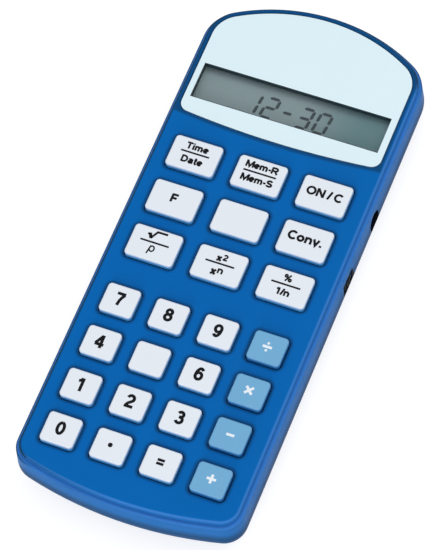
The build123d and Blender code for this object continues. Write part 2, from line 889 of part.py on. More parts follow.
blob_y = bay_high_y + bay_wall + blob_from_bay + blob_radius
with BuildPart() as controller_chip:
    with BuildSketch(Plane.XY.offset(board_under - blob_height)):
        with Locations((blob_x, blob_y)):
            Circle(blob_radius)
    extrude(amount=blob_height)
    fillet(controller_chip.edges().group_by(Axis.Z)[0], blob_height * blob_round_share)
save(controller_chip.part, "controller_chip")

crystal_y = chip_y + chip_side / 2 + chip_lead_reach + crystal_gap + crystal_width / 2
with BuildPart() as crystal:
    with BuildSketch(Plane.XY.offset(board_under - crystal_height)):
        with Locations((chip_x, crystal_y)):
            SlotOverall(crystal_length, crystal_width)
    extrude(amount=crystal_height)
save(crystal.part, "crystal")

capacitor_x = chip_x - chip_side / 2 - chip_lead_reach - capacitor_from_chip - capacitor_radius
capacitor_pitch = capacitor_radius * 2 + capacitor_gap
with BuildPart() as capacitors:
    with BuildSketch(Plane.XY.offset(board_under - capacitor_height)):
        with Locations((capacitor_x, (chip_y + blob_y) / 2)):
            with GridLocations(0, capacitor_pitch, 1, capacitor_count):
                Circle(capacitor_radius)
    extrude(amount=capacitor_height)
    fillet(capacitors.edges().group_by(Axis.Z)[0], capacitor_round)
save(capacitors.part, "capacitors")

# Battery cells, opposite ways round, and their contacts

cell_nub_radius = 2.0
cell_nub_length = 1.0
cell_round = 0.6
contact_thickness = 0.4
contact_height = 9.0
contact_width = 9.6
leaf_half_width = 3.6
leaf_height = 5.0
leaf_reach = bay_spare_length - contact_thickness * 2 - play * 3
cell_low_y = bay_low_y + contact_thickness + play
cell_high_y = bay_high_y - contact_thickness - play


def make_cell(name, x, way):
    """A cell whose raised end points up (1) or down (-1) the bay, against a flat contact."""
    nub_end = cell_high_y if way > 0 else cell_low_y
    body_start = nub_end - way * cell_nub_length
    with BuildPart() as cell:
        with BuildSketch(Plane.XZ.offset(-body_start)):
            with Locations((x, cell_height)):
                Circle(cell_radius)
        extrude(amount=way * (cell_length - cell_nub_length))
        fillet(cell.edges().filter_by(GeomType.CIRCLE), cell_round)
        with BuildSketch(Plane.XZ.offset(-body_start)):
            with Locations((x, cell_height)):
                Circle(cell_nub_radius)
        extrude(amount=-way * cell_nub_length)
    save(cell.part, name)


def leaf_face(x, wall_y, way):
    """A bowed leaf seen from above, springing from a wall into the bay (1 up, -1 down)."""
    with BuildSketch(Plane.XY.offset(cell_height - leaf_height / 2)) as face:
        with BuildLine():
            crest = wall_y + way * leaf_reach
            inner = crest - way * contact_thickness
            ThreePointArc((x - leaf_half_width, wall_y), (x, crest), (x + leaf_half_width, wall_y))
            Line((x + leaf_half_width, wall_y), (x + leaf_half_width - contact_thickness, wall_y))
            ThreePointArc(
                (x + leaf_half_width - contact_thickness, wall_y),
                (x, inner),
                (x - leaf_half_width + contact_thickness, wall_y),
            )
            Line((x - leaf_half_width + contact_thickness, wall_y), (x - leaf_half_width, wall_y))
        make_face()
    return face.sketch


make_cell("battery_1", -cell_x, 1)
make_cell("battery_2", cell_x, -1)

plate_low = cell_height - contact_height / 2
plate_high = cell_height + contact_height / 2
with BuildPart() as contact_positive:
    box(
        (-cell_x - contact_width / 2, bay_high_y - contact_thickness, plate_low),
        (-cell_x + contact_width / 2, bay_high_y, plate_high),
    )
    box(
        (-cell_x - contact_slot_width / 2 + play, bay_high_y - contact_thickness, plate_high),
        (-cell_x + contact_slot_width / 2 - play, bay_high_y, board_under),
    )
save(contact_positive.part, "contact_positive")

with BuildPart() as contact_negative:
    box(
        (cell_x - contact_width / 2, bay_high_y - contact_thickness, plate_low),
        (cell_x + contact_width / 2, bay_high_y, plate_high),
    )
    box(
        (cell_x - contact_slot_width / 2 + play, bay_high_y - contact_thickness, plate_high),
        (cell_x + contact_slot_width / 2 - play, bay_high_y, board_under),
    )
    extrude(leaf_face(cell_x, bay_high_y - contact_thickness, -1), amount=leaf_height)
save(contact_negative.part, "contact_negative")

with BuildPart() as contact_link:
    box(
        (-cell_x - contact_width / 2, bay_low_y, plate_low),
        (cell_x + contact_width / 2, bay_low_y + contact_thickness, plate_high),
    )
    extrude(leaf_face(-cell_x, bay_low_y + contact_thickness, 1), amount=leaf_height)
save(contact_link.part, "contact_link")

# Speaker, facing the grille, held down by a clamp ring

gasket_thickness = 0.4
gasket_width = 2.4
rim_thickness = 1.0
basket_wall = 0.7
magnet_radius = 7.5
magnet_height = 2.4
clamp_thickness = 0.8
clamp_width = 1.5
cone_thickness = 0.35
cone_neck_radius = 4.0
speaker_seat = floor_height + gasket_thickness
rim_top = speaker_seat + rim_thickness
basket_top = floor_height + speaker_height - magnet_height

with BuildPart() as speaker_gasket:
    with BuildSketch(Plane.XY.offset(floor_height)):
        with Locations((0, speaker_y)):
            Circle(speaker_radius)
            Circle(speaker_radius - gasket_width, mode=Mode.SUBTRACT)
    extrude(amount=gasket_thickness)
save(speaker_gasket.part, "speaker_gasket")

basket_foot = speaker_radius - clamp_width - play * 2
with BuildPart() as speaker_frame:
    with BuildSketch(Plane.XZ.offset(-speaker_y)):
        with BuildLine():
            Polyline(
                (basket_foot - basket_wall, speaker_seat),
                (speaker_radius, speaker_seat),
                (speaker_radius, rim_top),
                (basket_foot, rim_top),
                (magnet_radius, basket_top),
                (cone_neck_radius, basket_top),
                (cone_neck_radius, basket_top - basket_wall),
                (magnet_radius - basket_wall, basket_top - basket_wall),
                (basket_foot - basket_wall, rim_top - basket_wall),
                close=True,
            )
        make_face()
    revolve(axis=Axis((0, speaker_y, 0), (0, 0, 1)))
save(speaker_frame.part, "speaker_frame")

with BuildPart() as speaker_magnet:
    with BuildSketch(Plane.XY.offset(basket_top)):
        with Locations((0, speaker_y)):
            Circle(magnet_radius)
    extrude(amount=magnet_height)
    fillet(speaker_magnet.edges().group_by(Axis.Z)[-1], cone_thickness)
save(speaker_magnet.part, "speaker_magnet")

cone_rim = basket_foot - basket_wall * 2
cone_low = speaker_seat
cone_high = basket_top - basket_wall - play
with BuildPart() as speaker_cone:
    with BuildSketch(Plane.XZ.offset(-speaker_y)):
        with BuildLine():
            Polyline(
                (0, cone_high - cone_thickness),
                (cone_neck_radius - play, cone_high - cone_thickness),
                (cone_rim, cone_low),
                (cone_rim, cone_low + cone_thickness),
                (cone_neck_radius - play, cone_high),
                (0, cone_high),
                close=True,
            )
        make_face()
    revolve(axis=Axis((0, speaker_y, 0), (0, 0, 1)))
save(speaker_cone.part, "speaker_cone")

with BuildPart() as speaker_clamp:
    with BuildSketch(Plane.XY.offset(rim_top)):
        with Locations((0, speaker_y)):
            Circle(speaker_radius)
        with Locations(*speaker_screw_places):
            Circle(speaker_post_radius)
        for turn in speaker_ear_turns:
            with Locations(Location((0, speaker_y), turn)):
                with Locations((speaker_ear_radius / 2, 0)):
                    Rectangle(speaker_ear_radius, speaker_post_radius * 2)
        with Locations((0, speaker_y)):
            Circle(speaker_radius - clamp_width, mode=Mode.SUBTRACT)
        with Locations(*speaker_screw_places):
            Circle(speaker_screw_radius + play, mode=Mode.SUBTRACT)
    extrude(amount=clamp_thickness)
save(speaker_clamp.part, "speaker_clamp")

# Volume wheel with its control and screw, and the earphone socket

wheel_low = control_height - wheel_thickness / 2
wheel_high = control_height + wheel_thickness / 2
wheel_rib_count = 36
wheel_rib_radius = 0.3
wheel_shaft_radius = 1.5
wheel_shaft_clearance = 0.05
wheel_shaft_length = 1.4
pot_radius = 5.5
pot_gap = 0.2
wheel_screw_radius = 0.6
wheel_screw_head_radius = 1.5
wheel_screw_head = 0.8
wheel_screw_length = 2.6

with BuildPart() as volume_wheel:
    with BuildSketch(Plane.XY.offset(wheel_low)):
        with Locations((wheel_x, wheel_y)):
            Circle(wheel_radius)
            with PolarLocations(wheel_radius, wheel_rib_count):
                Circle(wheel_rib_radius, mode=Mode.SUBTRACT)
    extrude(amount=wheel_thickness)
    with BuildSketch(Plane.XY.offset(wheel_high)):
        with Locations((wheel_x, wheel_y)):
            Circle(wheel_shaft_radius)
    extrude(amount=wheel_shaft_length)
    with BuildSketch(Plane.XY.offset(wheel_low)):
        with Locations((wheel_x, wheel_y)):
            Circle(wheel_screw_head_radius + play)
    extrude(amount=wheel_screw_head, mode=Mode.SUBTRACT)
    with BuildSketch(Plane.XY.offset(wheel_low + wheel_screw_head)):
        with Locations((wheel_x, wheel_y)):
            Circle(wheel_screw_radius)
    extrude(amount=wheel_screw_length, mode=Mode.SUBTRACT)
save(volume_wheel.part, "volume_wheel")

with BuildPart() as volume_pot:
    with BuildSketch(Plane.XY.offset(wheel_high + pot_gap)):
        with Locations((wheel_x, wheel_y)):
            Circle(pot_radius)
            Circle(wheel_shaft_radius + wheel_shaft_clearance, mode=Mode.SUBTRACT)
    extrude(amount=board_under - wheel_high - pot_gap)
save(volume_pot.part, "volume_pot")

make_screws(
    "wheel_screw",
    [(wheel_x, wheel_y)],
    wheel_low + wheel_screw_head,
    1,
    wheel_screw_head_radius,
    wheel_screw_head,
    wheel_screw_radius,
    wheel_screw_length,
)

jack_mouth_x = case_width / 2 - side_wall - rim_inset - play * 2
jack_back_x = jack_mouth_x - jack_bore_length - overrun
jack_nose = 1.2
jack_nose_radius = 3.0
with BuildPart() as earphone_jack:
    box(
        (jack_back_x, jack_y - jack_width / 2, control_height * 2 - board_under),
        (jack_mouth_x - jack_nose, jack_y + jack_width / 2, board_under),
    )
    with BuildSketch(Plane.YZ.offset(jack_mouth_x - jack_nose)):
        with Locations((jack_y, control_height)):
            Circle(jack_nose_radius)
    extrude(amount=jack_nose)
    with BuildSketch(Plane.YZ.offset(jack_mouth_x)):
        with Locations((jack_y, control_height)):
            Circle(jack_bore_radius)
    extrude(amount=-jack_bore_length, mode=Mode.SUBTRACT)
save(earphone_jack.part, "earphone_jack")

# Speaker wires: two short leads from the frame's rim up to the board

wire_bend = 2.5
wire_start = speaker_y - speaker_radius
with BuildPart() as speaker_wires:
    for side in (-1, 1):
        x = side * wire_side
        start = (x, wire_start, speaker_seat + rim_thickness / 2)
        corner = (x, board_high_y - wire_bend, speaker_seat + rim_thickness / 2)
        finish = (x, board_high_y - wire_bend, board_under)
        with BuildLine() as route:
            FilletPolyline(start, corner, finish, radius=wire_bend)
        with BuildSketch(Plane.XZ.offset(-wire_start)):
            with Locations((x, start[2])):
                Circle(wire_radius)
        sweep(path=route.line)
save(speaker_wires.part, "speaker_wires")

# Screw groups

make_screws(
    "case_screws",
    case_screw_places,
    case_screw_seat,
    1,
    case_screw_head_radius,
    case_screw_head,
    case_screw_radius,
    case_screw_length,
)
board_screw_length = board_thickness + plate_under - board_top + board_pilot_rise - play
make_screws(
    "board_screws",
    board_screw_places,
    board_under,
    1,
    board_screw_head_radius,
    board_screw_head,
    board_screw_radius,
    board_screw_length,
)
make_screws(
    "holder_screws",
    holder_screw_places,
    holder_bottom,
    1,
    board_screw_head_radius,
    board_screw_head,
    board_screw_radius,
    holder_base + plate_under - holder_top - play,
)
make_screws(
    "speaker_screws",
    speaker_screw_places,
    rim_top + clamp_thickness,
    -1,
    board_screw_head_radius,
    board_screw_head,
    speaker_screw_radius,
    clamp_thickness + collar_height - play,
)
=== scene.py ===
import math

import bpy
import numpy as np
from mathutils import Matrix, Vector


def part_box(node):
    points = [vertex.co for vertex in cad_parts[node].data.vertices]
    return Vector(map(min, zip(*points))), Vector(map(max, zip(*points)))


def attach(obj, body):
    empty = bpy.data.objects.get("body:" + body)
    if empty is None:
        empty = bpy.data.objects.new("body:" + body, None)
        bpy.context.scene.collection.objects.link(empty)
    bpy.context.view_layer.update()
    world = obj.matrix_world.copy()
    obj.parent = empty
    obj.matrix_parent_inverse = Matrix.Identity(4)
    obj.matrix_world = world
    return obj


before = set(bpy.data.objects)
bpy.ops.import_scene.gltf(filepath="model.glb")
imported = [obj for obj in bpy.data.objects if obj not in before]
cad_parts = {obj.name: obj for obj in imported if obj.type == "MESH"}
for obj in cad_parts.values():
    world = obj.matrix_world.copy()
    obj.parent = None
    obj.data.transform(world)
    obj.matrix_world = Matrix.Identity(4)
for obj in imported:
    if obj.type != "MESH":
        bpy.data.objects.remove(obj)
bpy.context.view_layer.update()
mm = 0.001

# Camera: a long lens above the low right corner of the face, close to 0.9 m away. It is rolled,
# so that the casing leans to the right in the picture.
turn, height, roll = (math.radians(angle) for angle in (30.468, 62.276, -9.777))
distance = 873.55 * mm
aim = Vector((0.11, -8.66, 20.0)) * mm
focal_length = 198.55
furthest_seen = 10.0
back = Vector(
    (math.sin(turn) * math.cos(height), -math.cos(turn) * math.cos(height), math.sin(height))
)
level = Vector((math.cos(turn), math.sin(turn), 0.0))
rise = back.cross(level)
across = math.cos(roll) * level + math.sin(roll) * rise
upward = math.cos(roll) * rise - math.sin(roll) * level
camera = bpy.data.objects.new("camera", bpy.data.cameras.new("camera"))
camera.data.lens = focal_length
camera.data.clip_end = furthest_seen
camera_turn = Matrix((across, upward, back)).transposed().to_4x4()
camera.matrix_world = Matrix.Translation(aim + back * distance) @ camera_turn
bpy.context.scene.collection.objects.link(camera)
bpy.context.scene.camera = camera

# Floor: a plain pale sweep that the calculator lies on. It shows near white to the camera and in
# reflections, and keeps the soft shadow.
floor_half_size = 3.0
floor_glow = 0.69


def new_material(name):
    """A node material, with its tree and its Principled shader."""
    material = bpy.data.materials.new(name)
    material.use_nodes = True
    tree = material.node_tree
    return material, tree, tree.nodes["Principled BSDF"]


def feed(tree, entry, value):
    """Gives a node's entry its value: the output of another node, or a fixed one."""
    if isinstance(value, bpy.types.NodeSocket):
        tree.links.new(value, entry)
    else:
        entry.default_value = value


def calculate(tree, operation, first, second=0.0):
    """One math node on one or two values."""
    node = tree.nodes.new("ShaderNodeMath")
    node.operation = operation
    feed(tree, node.inputs[0], first)
    feed(tree, node.inputs[1], second)
    return node.outputs[0]


def seen_rays(tree):
    """Puts out 1 for camera, glossy and transmission rays, and 0 for the rays that give light."""
    rays = tree.nodes.new("ShaderNodeLightPath")
    seen = rays.outputs["Is Camera Ray"]
    for other in ("Is Glossy Ray", "Is Transmission Ray"):
        seen = calculate(tree, "MAXIMUM", seen, rays.outputs[other])
    return seen


def add_piece(name, points, faces, material):
    """A new object at the origin, made of points and faces, in one material."""
    mesh = bpy.data.meshes.new(name)
    mesh.from_pydata(points, [], faces)
    mesh.materials.append(material)
    piece = bpy.data.objects.new(name, mesh)
    bpy.context.scene.collection.objects.link(piece)
    return piece


floor_paint, tree, shader = new_material("pale floor")
shader.inputs["Base Color"].default_value = (0.48, 0.48, 0.49, 1)
shader.inputs["Roughness"].default_value = 0.9
shader.inputs["Specular IOR Level"].default_value = 0.1
shader.inputs["Emission Color"].default_value = (1, 1, 1, 1)
floor_light = calculate(tree, "MULTIPLY", seen_rays(tree), floor_glow)
tree.links.new(floor_light, shader.inputs["Emission Strength"])
floor_corners = [(x, y, 0) for x, y in ((-1, -1), (1, -1), (1, 1), (-1, 1))]
floor = add_piece("floor", np.array(floor_corners) * floor_half_size, [(0, 1, 2, 3)], floor_paint)

# Light: an even, soft studio. The walls give a grey fill that grows brighter overhead, a broad
# lamp hangs beyond the display end, and a weaker one stands low in front of the near end.
darkest_wall, brightest_wall = 0.32, 0.84
lamp_aim = Vector((0, 0, 0.01))


def ramp(tree, value, low, high, at_low=0.0, at_high=1.0, smooth=False):
    """Goes from at_low to at_high while value goes from low to high, straight or as a soft curve."""
    node = tree.nodes.new("ShaderNodeMapRange")
    node.interpolation_type = "SMOOTHSTEP" if smooth else "LINEAR"
    entries = {"Value": value, "From Min": low, "From Max": high, "To Min": at_low, "To Max": at_high}
    for name, entry_value in entries.items():
        feed(tree, node.inputs[name], entry_value)
    return node.outputs["Result"]


def axes_of(tree, coordinates):
    """X, Y and Z of one kind of texture coordinates, such as Object or Normal."""
    place = tree.nodes.new("ShaderNodeTexCoord")
    split = tree.nodes.new("ShaderNodeSeparateXYZ")
    tree.links.new(place.outputs[coordinates], split.inputs[0])
    return tuple(split.outputs)


def add_lamp(name, place, size, watts):
    """A square soft lamp that faces the calculator."""
    data = bpy.data.lights.new(name, "AREA")
    data.shape = "SQUARE"
    data.size = size
    data.energy = watts
    lamp = bpy.data.objects.new(name, data)
    lamp_turn = (lamp_aim - Vector(place)).to_track_quat("-Z", "Y").to_matrix().to_4x4()
    lamp.matrix_world = Matrix.Translation(place) @ lamp_turn
    bpy.context.scene.collection.objects.link(lamp)


world = bpy.data.worlds.new("studio")
bpy.context.scene.world = world
world.use_nodes = True
tree = world.node_tree
fill = tree.nodes["Background"]
fill.inputs["Color"].default_value = (0.97, 0.98, 1.0, 1)
wall_height = axes_of(tree, "Generated")[2]
strength = tree.nodes.new("ShaderNodeMix")
strength.data_type = "FLOAT"
tree.links.new(seen_rays(tree), strength.inputs["Factor"])
tree.links.new(ramp(tree, wall_height, 0, 1, darkest_wall, brightest_wall), strength.inputs["A"])
strength.inputs["B"].default_value = 1.0
tree.links.new(strength.outputs["Result"], fill.inputs["Strength"])
add_lamp("overhead softbox", place=(0.45, 0.6, 1.25), size=1.2, watts=5)
add_lamp("low front softbox", place=(0.1, -1.2, 0.5), size=0.7, watts=6)
bpy.context.scene.view_settings.view_transform = "Standard"

# Top and rear covers, with the battery door: injection moulded in one strong blue, with a fine
# spark-eroded grain and faint, broad differences of gloss where hands have polished it. Hooks at
# one end and screws from underneath hold the covers together.
face_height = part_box("top_cover")[1].z
seam_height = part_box("rear_cover")[1].z


def new_group(name, inputs, outputs):
    """A shader node group with named sockets, and the sockets that its insides start and end at."""
    group = bpy.data.node_groups.new(name, "ShaderNodeTree")
    for way, sockets in (("INPUT", inputs), ("OUTPUT", outputs)):
        for socket, kind in sockets.items():
            group.interface.new_socket(socket, in_out=way, socket_type=f"NodeSocket{kind}")
    enter, leave = (group.nodes.new(f"NodeGroup{way}") for way in ("Input", "Output"))
    return group, enter.outputs, leave.inputs


def grain_group():
    """Fine moulding grain and broad handling patches, from two sizes of noise on one vector."""
    inputs = {"Vector": "Vector", "Grain Scale": "Float", "Patch Scale": "Float"}
    group, enter, leave = new_group("moulded grain", inputs, {"Height": "Float", "Patch": "Float"})
    fine, broad = (group.nodes.new("ShaderNodeTexNoise") for _ in range(2))
    fine.inputs["Detail"].default_value = 2.0
    broad.inputs["Detail"].default_value = 4.0
    broad.inputs["Roughness"].default_value = 0.6
    for noise, scale, result in ((fine, "Grain Scale", "Height"), (broad, "Patch Scale", "Patch")):
        group.links.new(enter["Vector"], noise.inputs["Vector"])
        group.links.new(enter[scale], noise.inputs["Scale"])
        group.links.new(noise.outputs["Fac"], leave[result])
    return group


moulded_grain = grain_group()


def grain_marks(tree, patch, grain=3500.0):
    """The grain group in one material, on the piece's own coordinates. Puts out Height and Patch."""
    place = tree.nodes.new("ShaderNodeTexCoord")
    marks = tree.nodes.new("ShaderNodeGroup")
    marks.node_tree = moulded_grain
    marks.inputs["Grain Scale"].default_value = grain
    marks.inputs["Patch Scale"].default_value = patch
    tree.links.new(place.outputs["Object"], marks.inputs["Vector"])
    return marks.outputs


def blend(tree, factor, first, second, way="MIX"):
    """One mix node from the first colour to the second, each a fixed colour or an output."""
    node = tree.nodes.new("ShaderNodeMix")
    node.data_type = "RGBA"
    node.blend_type = way
    feed(tree, node.inputs["Factor"], factor)
    for name, colour in (("A", first), ("B", second)):
        feed(tree, node.inputs[name], (*colour, 1) if isinstance(colour, tuple) else colour)
    return node.outputs["Result"]


def moulded(
    name, colour, roughness, specular=0.5, grain=3500.0, depth=0.012, patch=60.0, tone=0.06, coat=0.0
):
    """Moulded material: grain lifts the surface, patches shift its colour and gloss a little.

    The patches make the colour darker or lighter by the share tone. Depth is the grain's, in mm.
    """
    patch_low, patch_high, gloss_shift, bump_strength = 0.3, 0.7, 0.05, 0.5
    material, tree, shader = new_material(name)
    marks = grain_marks(tree, patch, grain)
    darker = tuple(part * (1 - tone) for part in colour)
    lighter = tuple(min(part * (1 + tone), 1) for part in colour)
    glossiest, dullest = roughness - gloss_shift, roughness + gloss_shift
    gloss = ramp(tree, marks["Patch"], patch_low, patch_high, glossiest, dullest)
    bump = tree.nodes.new("ShaderNodeBump")
    bump.inputs["Strength"].default_value = bump_strength
    bump.inputs["Distance"].default_value = depth * mm
    tree.links.new(marks["Height"], bump.inputs["Height"])
    tree.links.new(blend(tree, marks["Patch"], darker, lighter), shader.inputs["Base Color"])
    tree.links.new(gloss, shader.inputs["Roughness"])
    tree.links.new(bump.outputs["Normal"], shader.inputs["Normal"])
    shader.inputs["Specular IOR Level"].default_value = specular
    shader.inputs["Coat Weight"].default_value = coat
    return material


def dress(material, *nodes):
    """Gives CAD pieces their finish, in every material slot that they have."""
    for node in nodes:
        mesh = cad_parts[node].data
        if not mesh.materials:
            mesh.materials.append(material)
        for slot in range(len(mesh.materials)):
            mesh.materials[slot] = material


casing = moulded("blue casing plastic", (0.0005, 0.13, 0.445), roughness=0.45, specular=0.05)
dress(casing, "top_cover", "rear_cover", "battery_door")

# Painted light and shade on the covers: the upright sides are painted lighter as if lit, and a painted
# highlight lies on the round edges and the seam. Painted shade darkens the left and far edges, the foot of
# the sides and a line round the panel and each key. It also turns the earphone hole and the wheel's finger
# scoop near black. Each is a colour laid over the blue.
tree = casing.node_tree
x, y, z = axes_of(tree, "Object")
facing_x, facing_y, facing_z = axes_of(tree, "Normal")


def product(tree, *masks):
    """Masks multiplied together, so that only what lies in all of them is left."""
    result = masks[0]
    for mask in masks[1:]:
        result = calculate(tree, "MULTIPLY", result, mask)
    return result


def lay_over(tree, layers):
    """Lays colours over a material's own colour, in turn, each through its mask."""
    base = tree.nodes["Principled BSDF"].inputs["Base Color"]
    tone = base.links[0].from_socket
    for mask, colour in layers:
        tone = blend(tree, mask, tone, colour)
    tree.links.new(tone, base)


def apart(tree, first, second, centre):
    """Distance of the point (first, second) from centre."""
    point = tree.nodes.new("ShaderNodeCombineXYZ")
    tree.links.new(first, point.inputs["X"])
    tree.links.new(second, point.inputs["Y"])
    gap = tree.nodes.new("ShaderNodeVectorMath")
    gap.operation = "DISTANCE"
    tree.links.new(point.outputs[0], gap.inputs[0])
    gap.inputs[1].default_value = (*centre, 0)
    return gap.outputs["Value"]


def past_keys(
    tree, x, y, names, counts, flange=0.9 * mm, corner=1.2 * mm, shade_shift=(-0.22 * mm, 0.28 * mm)
):
    """How far a point is from the nearest cap in a block of keys, given its first and last key.

    The axes fold about the block's middle until every key lies on one: |v| - f, once for each f.
    There the distance is that to a rectangle with round corners. A key's box has its hidden flange in it.
    All of it lies off the caps' middles by the given shift, so that the painted shade line is wider on the
    left and far sides of each cap.
    """
    (first_low, first_high), (last_low, last_high) = (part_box(name) for name in names)
    squares = []
    for axis, value, count in ((0, x, counts[0]), (1, y, counts[1])):
        start = (first_low[axis] + first_high[axis]) / 2
        end = (last_low[axis] + last_high[axis]) / 2
        half_pitch = (end - start) / (count - 1) / 2
        value = calculate(tree, "SUBTRACT", value, (start + end) / 2 + shade_shift[axis])
        for fold in (half_pitch * 2, half_pitch) if count == 4 else (half_pitch, half_pitch):
            value = calculate(tree, "SUBTRACT", calculate(tree, "ABSOLUTE", value), fold)
        side = (first_high[axis] - first_low[axis]) / 2 - flange - corner
        reach = calculate(tree, "SUBTRACT", calculate(tree, "ABSOLUTE", value), side)
        reach = calculate(tree, "MAXIMUM", reach)
        squares.append(calculate(tree, "MULTIPLY", reach, reach))
    gap = calculate(tree, "SQRT", calculate(tree, "ADD", *squares))
    return calculate(tree, "SUBTRACT", gap, corner)


def past_panel(tree, x, y, round_end=54 * mm, bow=262 * mm, shade_shift=0.3 * mm):
    """How far a point is outside the panel: past its sides, its round end or its bowed low edge.

    The low edge is y = low + x * x / (2 * bow), and the painted shade line along it lies the given shift
    further down.
    """
    low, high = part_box("display_panel")
    past_sides = calculate(tree, "SUBTRACT", calculate(tree, "ABSOLUTE", x), high.x)
    past_end = calculate(tree, "SUBTRACT", apart(tree, x, y, (0, high.y - round_end)), round_end)
    bow_rise = calculate(tree, "DIVIDE", calculate(tree, "MULTIPLY", x, x), bow * 2)
    past_low = calculate(tree, "ADD", calculate(tree, "SUBTRACT", bow_rise, y), low.y - shade_shift)
    return calculate(tree, "MAXIMUM", calculate(tree, "MAXIMUM", past_sides, past_end), past_low)


# A painted highlight lies on the round edges, neither upright nor flat, but not on those that face left,
# and it lightens the shaded seam between the covers. A facing of 1 looks up, to the right or to the far
# end, and one of 0 looks square to that.
edge_starts, edge_full, flat_starts, flat_full = 0.2, 0.45, 0.85, 0.985
seam_low, seam_high, seam_fade = seam_height - 0.5 * mm, seam_height + 0.6 * mm, 0.1 * mm
left_without_highlight, left_with_highlight = -0.5, -0.1
round_edge = product(
    tree,
    ramp(tree, facing_z, edge_starts, edge_full),
    ramp(tree, facing_z, flat_full, flat_starts),
)
seam = product(
    tree,
    ramp(tree, z, seam_low, seam_low + seam_fade),
    ramp(tree, z, seam_high, seam_high - seam_fade),
)
painted_edge_highlight = product(
    tree,
    calculate(tree, "MAXIMUM", round_edge, seam),
    ramp(tree, facing_x, left_without_highlight, left_with_highlight),
)

# Painted shade at the foot of the sides, darkest where the belly turns under; the flat underside is left
# out.
wall_starts, wall_full, underside, underside_ends = 0.3, 0.1, -0.9, -0.6
foot_unshaded, foot_dark, foot_shade_share = 14.4 * mm, 11.4 * mm, 0.8
belly_low, belly_high, belly_share = 2 * mm, 9 * mm, 0.45
# The upright sides: they are painted lighter as if lit, and they carry the foot's painted shade.
upright = ramp(tree, facing_z, wall_starts, wall_full)
painted_wall_foot_shade = product(
    tree,
    upright,
    ramp(tree, facing_z, underside, underside_ends),
    ramp(tree, z, foot_unshaded, foot_dark, 0, foot_shade_share),
    ramp(tree, z, belly_low, belly_high, belly_share, 1),
)

# Painted shade on the left and far edges, down to where they are upright.
turned_away, edge_shade_share, upright_still, upright_ends = 0.35, 0.9, 0.05, 0.2
painted_edge_shade = product(
    tree,
    calculate(
        tree,
        "MAXIMUM",
        ramp(tree, facing_x, 0, -turned_away, 0, edge_shade_share),
        ramp(tree, facing_y, 0, turned_away, 0, edge_shade_share),
    ),
    ramp(tree, facing_z, upright_still, upright_ends),
)

# Painted shade: a dark line round the panel and the keys, on the face alone.
line_unshaded, line_dark, line_shade_share = 1.55 * mm, 0.65 * mm, 0.78
face_starts, face_full = face_height - 1.2 * mm, face_height - 1 * mm
key_blocks = ((("key_0", "key_divide"), (4, 4)), (("key_root", "key_on_clear"), (3, 3)))
past_edge = past_panel(tree, x, y)
for names, counts in key_blocks:
    past_edge = calculate(tree, "MINIMUM", past_edge, past_keys(tree, x, y, names, counts))
painted_outline_shade = product(
    tree,
    ramp(tree, past_edge, line_unshaded, line_dark, 0, line_shade_share),
    ramp(tree, z, face_starts, face_full),
)

# Painted shade in the earphone hole and in the scoop: near black, stopping inside the wall.
jack_low, jack_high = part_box("earphone_jack")
wheel_low, wheel_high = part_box("volume_wheel")
hole_radius = 3.3 * mm
scoop_radius, scoop_beyond_wheel, scoop_half_height = 7.06 * mm, 5.9 * mm, 2.75 * mm
inside_wall, outside_wall = 29 * mm, 30 * mm
hole_centre = ((jack_low.y + jack_high.y) / 2, (jack_low.z + jack_high.z) / 2)
scoop_centre = (wheel_high.x + scoop_beyond_wheel, (wheel_low.y + wheel_high.y) / 2)
in_hole = calculate(tree, "LESS_THAN", apart(tree, y, z, hole_centre), hole_radius)
off_middle = calculate(tree, "ABSOLUTE", calculate(tree, "SUBTRACT", z, hole_centre[1]))
in_scoop = product(
    tree,
    calculate(tree, "LESS_THAN", apart(tree, x, y, scoop_centre), scoop_radius),
    calculate(tree, "LESS_THAN", off_middle, scoop_half_height),
)
painted_hole_shade = product(
    tree,
    calculate(tree, "MAXIMUM", in_hole, in_scoop),
    ramp(tree, x, inside_wall, outside_wall),
)

# Painted light and shade laid over the blue in turn: upright sides painted lighter, a painted highlight on
# the round edges and seam, painted shade at the foot of the sides, round the panel and keys and on the
# left and far edges, and near black in the hole and scoop.
lay_over(
    tree,
    (
        (upright, (0.018, 0.185, 0.56)),
        (painted_edge_highlight, (0.04, 0.205, 0.6)),
        (painted_wall_foot_shade, (0.012, 0.06, 0.15)),
        (painted_outline_shade, (0.003, 0.045, 0.13)),
        (painted_edge_shade, (0.005, 0.042, 0.1)),
        (painted_hole_shade, (0.004, 0.006, 0.012)),
    ),
)

# Display panel: a thin pale plate with a printed satin face, let into the top cover round the window. The
# plate is darker in a thin line round its opening, a little off to the left and low.
panel_finish = moulded(
    "pale panel print", (0.75, 0.91, 0.965), roughness=0.38,
    specular=0.4, grain=5200.0, depth=0.006, tone=0.02,
)
window_low, window_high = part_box("display_window")
lens_overlap = (0.5 * mm, 0.85 * mm)
line_before, line_after = (0.2 * mm, 0.22 * mm), (0, 0.08 * mm)
tree = panel_finish.node_tree
in_line = []
for axis, value in enumerate(axes_of(tree, "Object")[:2]):
    start = window_low[axis] + lens_overlap[axis] - line_before[axis]
    end = window_high[axis] - lens_overlap[axis] + line_after[axis]
    off_middle = calculate(tree, "SUBTRACT", value, (start + end) / 2)
    off_middle = calculate(tree, "ABSOLUTE", off_middle)
    in_line.append(calculate(tree, "LESS_THAN", off_middle, (end - start) / 2))
lay_over(tree, [(product(tree, *in_line), (0.02, 0.04, 0.05))])
dress(panel_finish, "display_panel")

# Display bezel: a lining of near-black moulded plastic in the window's opening. Its flange lies
# under the face plate and holds the window.
lining_finish = moulded("black lining plastic", (0.012, 0.03, 0.036), roughness=0.5, specular=0.3)
dress(lining_finish, "display_bezel")

